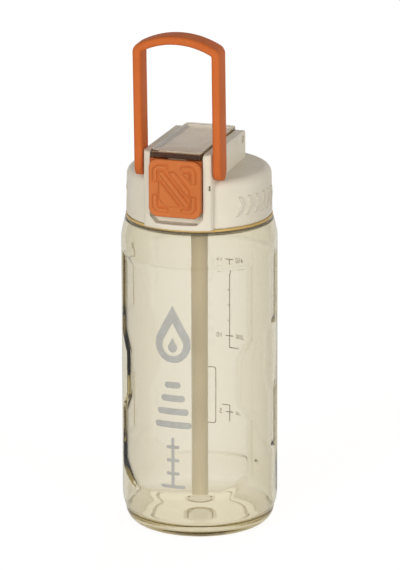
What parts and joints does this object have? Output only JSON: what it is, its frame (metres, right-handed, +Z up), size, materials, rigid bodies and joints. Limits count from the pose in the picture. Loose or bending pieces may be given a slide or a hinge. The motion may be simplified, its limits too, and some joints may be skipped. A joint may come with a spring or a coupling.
{
  "type": "flip-lid straw bottle",
  "caption": "Clear screw-top drinking bottle with a straw, a push-button flip cover over a soft spout, and a carry bail that folds back over the lid.",
  "frame": {"origin": "centre of the base, on the surface it stands on", "axes": "+Z up along the bottle's axis; the push button faces -Y; the cover's hinge pin lies along X"},
  "size_m": [0.075, 0.0766, 0.248],
  "materials": {
    "clear_body": "clear straw-tinted copolyester, polished",
    "clear_cover": "clear amber-tinted copolyester, polished",
    "lid_plastic": "warm ivory polypropylene, fine satin",
    "inner_plastic": "natural polypropylene, satin",
    "accent_plastic": "burnt orange polypropylene, satin",
    "straw_plastic": "translucent tinted polypropylene tube",
    "silicone": "ivory silicone",
    "steel": "drawn stainless steel"
  },
  "bodies": {
    "bottle": {"bottle_body": "clear_body"},
    "gasket": {"neck_gasket": "silicone"},
    "lid": {"lid_body": "lid_plastic", "thread_liner": "inner_plastic", "straw_adapter": "inner_plastic", "adapter_o_ring": "silicone", "straw": "straw_plastic", "spout": "silicone", "spout_collar": "inner_plastic", "vent_valve": "silicone", "cover_hinge_pin": "steel", "button_spring": "steel"},
    "cover": {"cover_shell": "clear_cover", "cover_liner": "lid_plastic", "spout_plug": "silicone", "cover_spring": "steel"},
    "button": {"latch_button": "accent_plastic", "button_pad": "accent_plastic"},
    "handle": {"bail_handle": "accent_plastic", "handle_pin_left": "steel", "handle_pin_right": "steel"}
  },
  "joints": [
    {"name": "lid_rise", "type": "slide", "parent": "bottle", "child": "gasket", "axis": [0, 0, 1], "range_m": [0, 0.00601]},
    {"name": "lid_turn", "type": "hinge", "parent": "gasket", "child": "lid", "pos_m": [0, 0, 0], "axis": [0, 0, 1], "range_deg": [0, 540]},
    {"name": "cover_flip", "type": "hinge", "parent": "lid", "child": "cover", "pos_m": [0, 0.0152, 0.1872], "axis": [-1, 0, 0], "range_deg": [0, 110]},
    {"name": "button_press", "type": "slide", "parent": "lid", "child": "button", "axis": [0, 1, 0], "range_m": [0, 0.0022], "stiffness_N_per_m": 600, "springref_m": -0.001, "deforming": ["button_spring"]},
    {"name": "handle_swing", "type": "hinge", "parent": "lid", "child": "handle", "pos_m": [0, -0.0288, 0.1836], "axis": [-1, 0, 0], "range_deg": [0, 92]}
  ],
  "couplings": [
    {"joint": "lid_rise", "follows": "lid_turn", "m_per_rad": 0.00063662}
  ]
}
